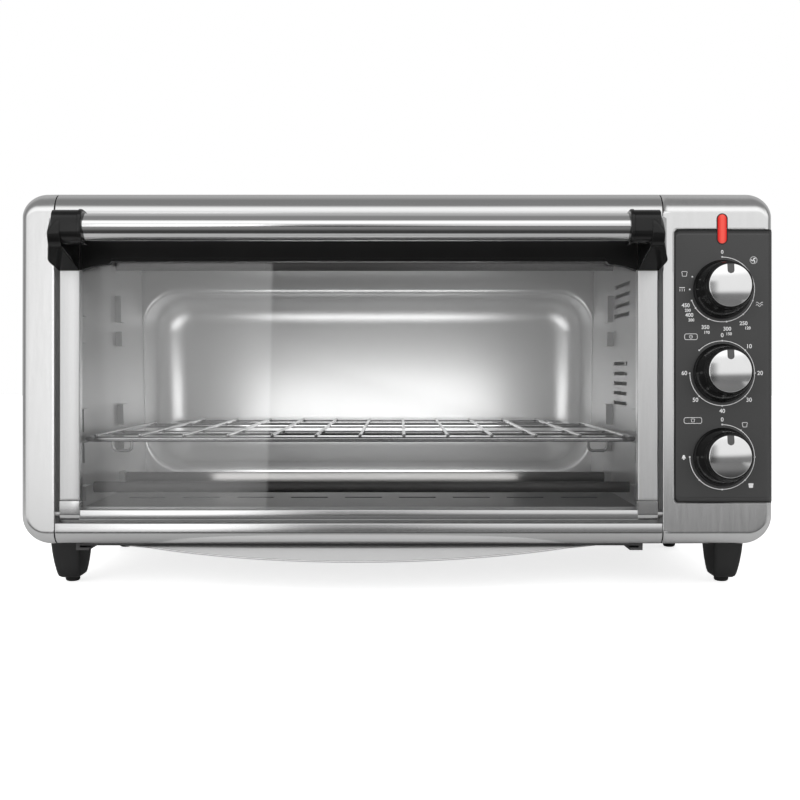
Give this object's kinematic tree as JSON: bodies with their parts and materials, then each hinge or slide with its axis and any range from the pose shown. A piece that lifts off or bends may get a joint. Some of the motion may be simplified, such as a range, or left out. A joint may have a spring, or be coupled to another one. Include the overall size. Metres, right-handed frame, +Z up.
{
  "type": "toaster oven",
  "caption": "Extra-wide countertop toaster oven with a drop-down glass door, tube handle, turning controls, sliding rack and crumb tray.",
  "frame": {"origin": "middle of the bounding box, at the height of the surface the oven stands on", "axes": "+X to the right seen from the front, +Y towards the back, +Z up; the front faces -Y"},
  "size_m": [0.546, 0.3814, 0.289],
  "materials": {
    "brushed_steel": "vertically brushed stainless steel",
    "satin_trim": "satin stainless steel",
    "silver_paint": "silver powder coat",
    "dark_paint": "dark grey powder coat",
    "cavity_steel": "satin aluminised sheet",
    "plain_steel": "plain zinc-plated steel",
    "heater_sheath": "dull oxidised heater sheath",
    "ceramic": "unglazed steatite",
    "panel_paint": "satin charcoal paint",
    "red_lens": "clear red plastic, lit",
    "lamp": "neon lamp",
    "black_plastic": "semi-gloss black phenolic",
    "matte_black": "textured black plastic",
    "pale_plastic": "pale phenolic switch bodies",
    "rubber": "black rubber",
    "chrome": "polished plated steel",
    "door_glass": "clear tempered glass"
  },
  "bodies": {
    "oven": {"left_bezel": "brushed_steel", "right_bezel": "brushed_steel", "top_trim": "satin_trim", "bottom_trim": "satin_trim", "top_cover": "silver_paint", "left_side_panel": "silver_paint", "right_side_panel": "silver_paint", "rear_cover": "dark_paint", "base_plate": "dark_paint", "tray_rails": "dark_paint", "face_frame": "cavity_steel", "cavity_left_wall": "cavity_steel", "cavity_right_wall": "cavity_steel", "cavity_roof": "cavity_steel", "cavity_floor": "cavity_steel", "cavity_back": "cavity_steel", "heat_shield": "plain_steel", "control_bracket": "plain_steel", "hinge_brackets": "plain_steel", "case_screws": "plain_steel", "timer_bell": "plain_steel", "fan_motor": "plain_steel", "upper_heaters": "heater_sheath", "lower_heaters": "heater_sheath", "heater_insulators": "ceramic", "control_panel": "panel_paint", "indicator_lens": "red_lens", "indicator_lamp": "lamp", "feet": "matte_black", "rear_spacers": "matte_black", "cord_gland": "matte_black", "thermostat": "pale_plastic", "oven_timer": "pale_plastic", "toast_timer": "pale_plastic", "terminal_block": "pale_plastic", "foot_pads": "rubber"},
    "door": {"door_glass": "door_glass", "door_left_strip": "brushed_steel", "door_right_strip": "brushed_steel", "door_top_rail": "black_plastic", "door_bottom_rail": "satin_trim", "handle_tube": "chrome", "handle_left_bracket": "black_plastic", "handle_right_bracket": "black_plastic", "handle_screws": "plain_steel", "hinge_pins": "plain_steel", "door_bumpers": "rubber"},
    "rack": {"wire_rack": "chrome"},
    "tray": {"crumb_tray": "cavity_steel"},
    "fan": {"fan_wheel": "plain_steel", "fan_shaft": "plain_steel"},
    "temperature_control": {"temperature_knob": "black_plastic", "temperature_cap": "chrome", "temperature_shaft": "plain_steel"},
    "timer_control": {"timer_knob": "black_plastic", "timer_cap": "chrome", "timer_shaft": "plain_steel"},
    "toast_control": {"toast_knob": "black_plastic", "toast_cap": "chrome", "toast_shaft": "plain_steel"}
  },
  "joints": [
    {"name": "door_hinge", "type": "hinge", "parent": "oven", "child": "door", "pos_m": [-0.0276, -0.15487, 0.05639], "axis": [1, 0, 0], "range_deg": [0, 95]},
    {"name": "rack_slide", "type": "slide", "parent": "oven", "child": "rack", "axis": [0, -1, 0], "range_m": [0, 0.085]},
    {"name": "tray_slide", "type": "slide", "parent": "oven", "child": "tray", "axis": [0, 1, 0], "range_m": [-0.25, 0]},
    {"name": "temperature_turn", "type": "hinge", "parent": "oven", "child": "temperature_control", "pos_m": [0.23535, -0.1452, 0.21846], "axis": [0, 0.9962, -0.0872], "range_deg": [0, 293]},
    {"name": "timer_turn", "type": "hinge", "parent": "oven", "child": "timer_control", "pos_m": [0.23535, -0.15049, 0.1581], "axis": [0, 0.9962, -0.0872], "range_deg": [-45, 270]},
    {"name": "toast_turn", "type": "hinge", "parent": "oven", "child": "toast_control", "pos_m": [0.23535, -0.15577, 0.09773], "axis": [0, 0.9962, -0.0872], "range_deg": [0, 270]},
    {"name": "fan_spin", "type": "hinge", "parent": "oven", "child": "fan", "pos_m": [0.19, -0.0463, 0.165], "axis": [1, 0, 0], "continuous": true}
  ],
  "couplings": [
    {"joint": "rack_slide", "follows": "door_hinge", "m_per_rad": 0.05}
  ]
}
